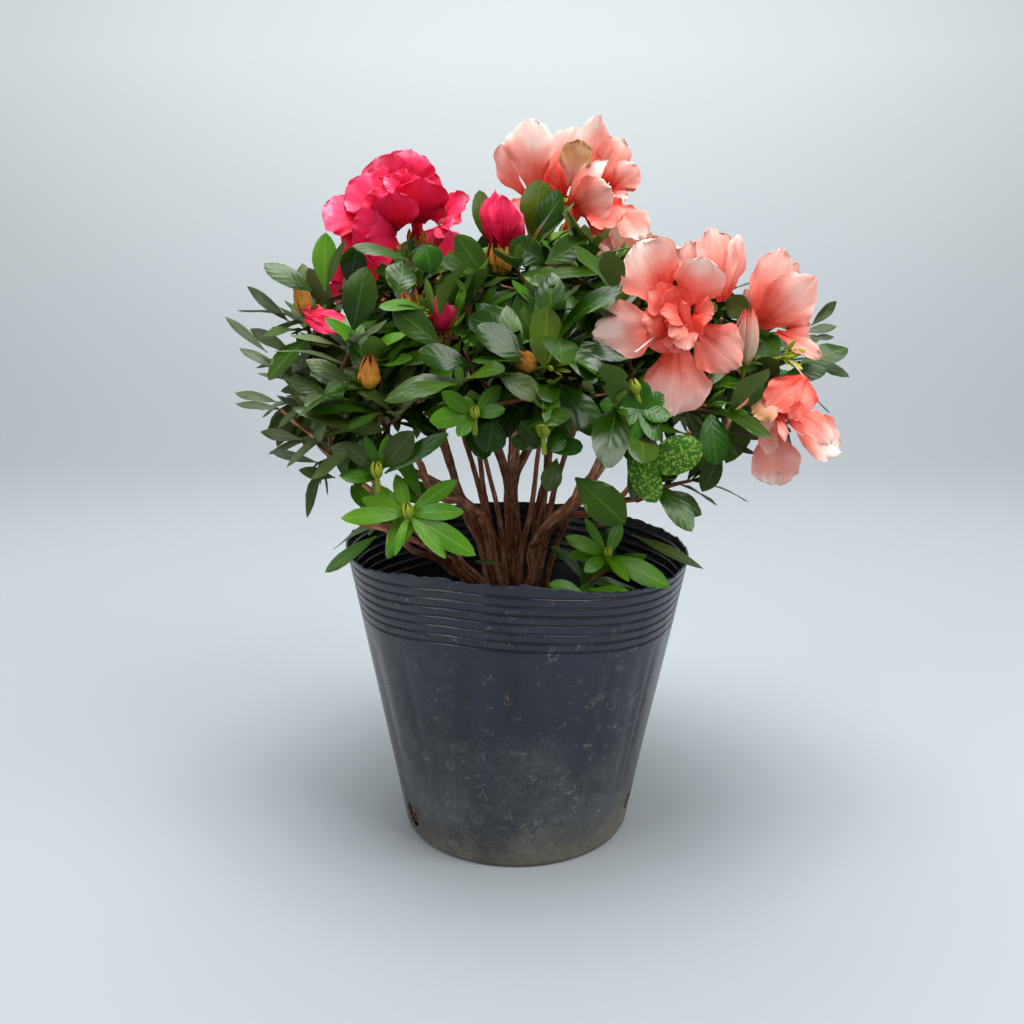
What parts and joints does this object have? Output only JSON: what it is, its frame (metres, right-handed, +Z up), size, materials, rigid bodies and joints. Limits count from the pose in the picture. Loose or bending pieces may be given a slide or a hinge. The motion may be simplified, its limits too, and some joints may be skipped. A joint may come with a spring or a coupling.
{
  "type": "azalea shrub",
  "caption": "Azalea shrub in flower, with reddish stems, a low domed crown of rosetted leaves and pink and salmon double blooms, in a round black nursery pot.",
  "frame": {"origin": "centre of the pot's flat underside, where it stands on the ground", "axes": "+Z up, the crown's tallest way; -Y towards the viewer of the picture; +X to the viewer's right, towards the salmon blooms"},
  "size_m": [0.3059, 0.2769, 0.3672],
  "materials": {
    "pot_plastic": "satin, scuffed and dusty black polyethylene",
    "soil": "rough, moist peat and bark mix",
    "bark": "flaky reddish-brown bark",
    "leaves": "glossy dark green leaves",
    "young_leaves": "glossy yellow-green leaves",
    "pink_petals": "soft ruffled petals",
    "salmon_petals": "soft ruffled petals"
  },
  "bodies": {
    "root": {"pot": "pot_plastic", "soil": "soil", "root_crown": "bark", "main_stem": "bark", "left_front_stem": "bark", "right_front_stem": "bark", "right_back_stem": "bark", "back_stem": "bark", "left_back_stem": "bark", "left_low_stem": "bark", "front_low_stem": "bark", "top_left_bough": "bark", "top_bough": "bark", "top_right_bough": "bark", "front_bough": "bark", "left_front_bough": "bark", "right_front_bough": "bark", "right_low_bough": "bark", "right_bough": "bark", "right_back_bough": "bark", "back_bough": "bark", "left_back_bough": "bark", "left_outer_bough": "bark", "pink_bloom_left": "pink_petals", "pink_bloom_top": "pink_petals", "pink_bloom_right": "pink_petals", "pink_bloom_low": "pink_petals", "salmon_bloom_top_left": "salmon_petals", "salmon_bloom_top_right": "salmon_petals", "salmon_bloom_top_low": "salmon_petals", "salmon_bloom_front": "salmon_petals", "salmon_bloom_middle": "salmon_petals", "salmon_bloom_right": "salmon_petals", "salmon_bloom_hanging": "salmon_petals", "pink_bloom_back": "pink_petals", "salmon_bloom_back": "salmon_petals", "foliage_top_left": "leaves", "foliage_top": "leaves", "foliage_top_right": "leaves", "foliage_front": "leaves", "foliage_left_front": "leaves", "foliage_left_outer": "leaves", "foliage_left_back": "leaves", "foliage_back": "leaves", "foliage_right_back": "leaves", "foliage_right": "leaves", "foliage_right_front": "leaves", "foliage_right_low": "leaves", "foliage_front_low": "young_leaves", "pot_sprout": "young_leaves"}
  },
  "joints": []
}
